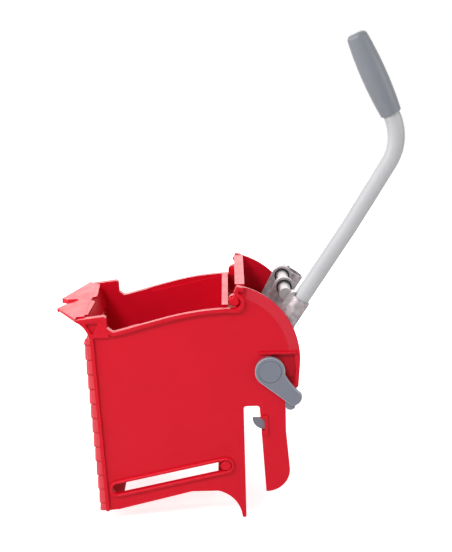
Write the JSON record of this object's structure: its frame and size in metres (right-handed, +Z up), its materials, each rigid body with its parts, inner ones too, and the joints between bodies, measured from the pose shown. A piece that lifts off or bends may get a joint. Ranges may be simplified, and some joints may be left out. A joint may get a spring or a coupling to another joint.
{
  "type": "mop wringer",
  "caption": "Press wringer that hangs on a bucket wall: louvred chamber, sliding press plate on side guides, bent pull lever with a drive link, and a spring latch.",
  "frame": {"origin": "middle of the bucket-rim seat, the underside of the beam at the top of the bucket slot", "axes": "+Z up, +X from the bucket towards the lever, +Y to the right-hand side plate as seen from the lever end"},
  "size_m": [0.4655, 0.194, 0.6509],
  "materials": {
    "red_moulding": "satin moulded red",
    "red_stud": "smooth red",
    "grey_plastic": "matte slate grey",
    "pale_tube": "pale powder coat",
    "cast_alloy": "as cast",
    "bright_steel": "bright zinc",
    "dark_bush": "dark nylon"
  },
  "bodies": {
    "housing": {"side_plate_left": "red_moulding", "side_plate_right": "red_moulding", "front_wall": "red_moulding", "front_lip": "red_moulding", "rim_beam": "red_moulding", "rear_bridge": "red_moulding", "frame_screws": "bright_steel", "stop_bar": "bright_steel", "pivot_pin_left": "bright_steel", "pivot_pin_right": "bright_steel"},
    "press": {"press_plate": "red_moulding", "drive_clevis": "cast_alloy", "clevis_screws": "bright_steel", "upper_stud_left": "red_stud", "upper_stud_right": "red_stud", "lower_stud_left": "red_stud", "lower_stud_right": "red_stud"},
    "lever": {"lever_arm_left": "cast_alloy", "lever_arm_right": "cast_alloy", "pivot_bush_left": "dark_bush", "pivot_bush_right": "dark_bush", "cross_shaft": "bright_steel", "lever_tube": "pale_tube", "hand_grip": "grey_plastic", "socket_rivet": "bright_steel"},
    "link": {"drive_link": "cast_alloy", "link_bush": "dark_bush", "link_pin": "bright_steel"},
    "latch": {"latch_axle": "bright_steel", "latch_spring": "bright_steel", "latch_lever_left": "grey_plastic", "latch_lever_right": "grey_plastic", "latch_cap_left": "grey_plastic", "latch_cap_right": "grey_plastic", "latch_hook_left": "grey_plastic", "latch_hook_right": "grey_plastic"}
  },
  "joints": [
    {"name": "lever_pull", "type": "hinge", "parent": "housing", "child": "lever", "pos_m": [-0.001, 0, 0.0545], "axis": [0, -1, 0], "range_deg": [0, 75]},
    {"name": "press_slide", "type": "slide", "parent": "housing", "child": "press", "axis": [-0.9796, 0, -0.2011], "range_m": [0, 0.122]},
    {"name": "link_turn", "type": "hinge", "parent": "lever", "child": "link", "pos_m": [0.0485, 0, 0.1485], "axis": [0, -1, 0], "range_deg": [-68.9, 0]},
    {"name": "latch_lift", "type": "hinge", "parent": "housing", "child": "latch", "pos_m": [0.0257, 0, 0.0498], "axis": [0, -1, 0], "range_deg": [0, 12], "stiffness_Nm_per_rad": 0.5, "springref_deg": -14.32, "deforming": ["latch_spring"]}
  ],
  "couplings": [
    {"joint": "press_slide", "follows": "lever_pull", "m_per_rad": 0.093193},
    {"joint": "link_turn", "follows": "lever_pull", "ratio": -0.91867}
  ]
}
